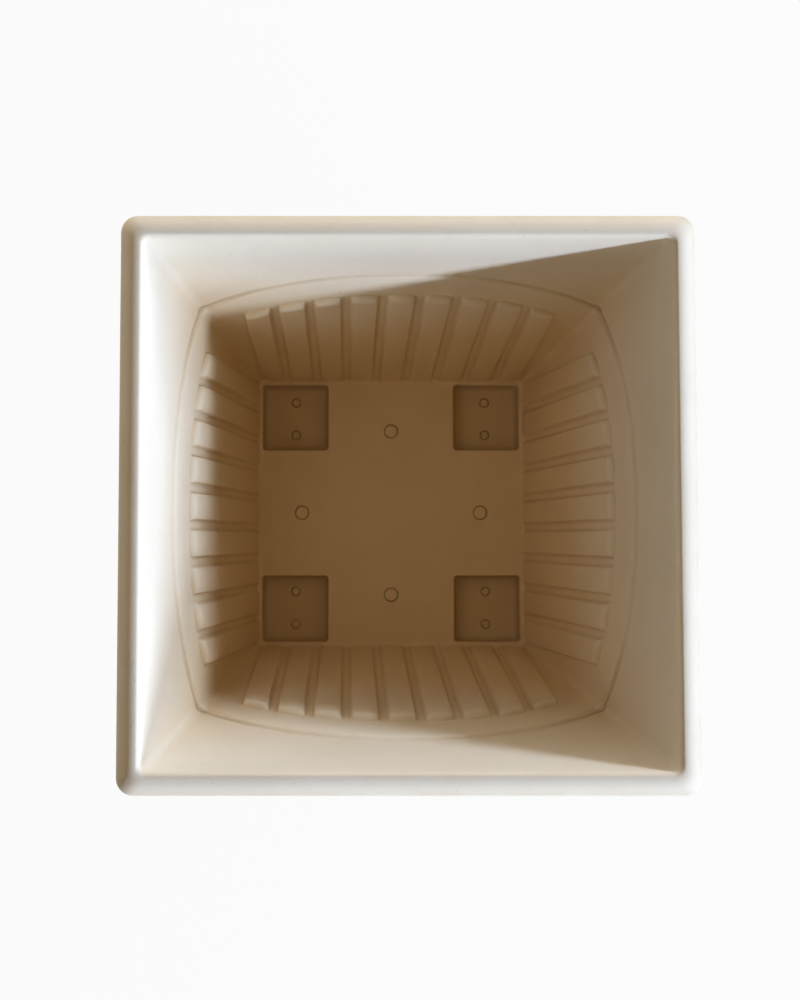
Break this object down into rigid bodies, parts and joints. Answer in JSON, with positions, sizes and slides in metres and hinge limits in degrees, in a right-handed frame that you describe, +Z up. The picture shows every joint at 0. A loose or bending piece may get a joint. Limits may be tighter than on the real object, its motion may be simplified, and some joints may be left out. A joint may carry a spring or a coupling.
{
  "type": "planter pot",
  "caption": "Square tapered planter pot with a rolled lip, an arched band over fluted walls, four hollow feet and twelve drain plugs that pull out of the floor and feet.",
  "frame": {"origin": "under the middle of the pot, on the ground that the feet stand on", "axes": "+Z up out of the mouth, +X to the right-hand wall, +Y to the back wall"},
  "size_m": [0.3, 0.3, 0.278],
  "materials": {
    "pot_cream": "matt cream moulding with fine specks",
    "plug_cream": "matt cream moulding"
  },
  "bodies": {
    "pot": {"pot_body": "pot_cream"},
    "plug_right": {"drain_plug_right": "plug_cream"},
    "plug_back": {"drain_plug_back": "plug_cream"},
    "plug_left": {"drain_plug_left": "plug_cream"},
    "plug_front": {"drain_plug_front": "plug_cream"},
    "plug_front_left_outer": {"foot_plug_front_left_outer": "plug_cream"},
    "plug_front_left_inner": {"foot_plug_front_left_inner": "plug_cream"},
    "plug_front_right_outer": {"foot_plug_front_right_outer": "plug_cream"},
    "plug_front_right_inner": {"foot_plug_front_right_inner": "plug_cream"},
    "plug_back_left_outer": {"foot_plug_back_left_outer": "plug_cream"},
    "plug_back_left_inner": {"foot_plug_back_left_inner": "plug_cream"},
    "plug_back_right_outer": {"foot_plug_back_right_outer": "plug_cream"},
    "plug_back_right_inner": {"foot_plug_back_right_inner": "plug_cream"}
  },
  "joints": [
    {"name": "plug_right_lift", "type": "slide", "parent": "pot", "child": "plug_right", "axis": [0, 0, 1], "range_m": [0, 0.03]},
    {"name": "plug_back_lift", "type": "slide", "parent": "pot", "child": "plug_back", "axis": [0, 0, 1], "range_m": [0, 0.03]},
    {"name": "plug_left_lift", "type": "slide", "parent": "pot", "child": "plug_left", "axis": [0, 0, 1], "range_m": [0, 0.03]},
    {"name": "plug_front_lift", "type": "slide", "parent": "pot", "child": "plug_front", "axis": [0, 0, 1], "range_m": [0, 0.03]},
    {"name": "plug_front_left_outer_lift", "type": "slide", "parent": "pot", "child": "plug_front_left_outer", "axis": [0, 0, 1], "range_m": [0, 0.03]},
    {"name": "plug_front_left_inner_lift", "type": "slide", "parent": "pot", "child": "plug_front_left_inner", "axis": [0, 0, 1], "range_m": [0, 0.03]},
    {"name": "plug_front_right_outer_lift", "type": "slide", "parent": "pot", "child": "plug_front_right_outer", "axis": [0, 0, 1], "range_m": [0, 0.03]},
    {"name": "plug_front_right_inner_lift", "type": "slide", "parent": "pot", "child": "plug_front_right_inner", "axis": [0, 0, 1], "range_m": [0, 0.03]},
    {"name": "plug_back_left_outer_lift", "type": "slide", "parent": "pot", "child": "plug_back_left_outer", "axis": [0, 0, 1], "range_m": [0, 0.03]},
    {"name": "plug_back_left_inner_lift", "type": "slide", "parent": "pot", "child": "plug_back_left_inner", "axis": [0, 0, 1], "range_m": [0, 0.03]},
    {"name": "plug_back_right_outer_lift", "type": "slide", "parent": "pot", "child": "plug_back_right_outer", "axis": [0, 0, 1], "range_m": [0, 0.03]},
    {"name": "plug_back_right_inner_lift", "type": "slide", "parent": "pot", "child": "plug_back_right_inner", "axis": [0, 0, 1], "range_m": [0, 0.03]}
  ]
}
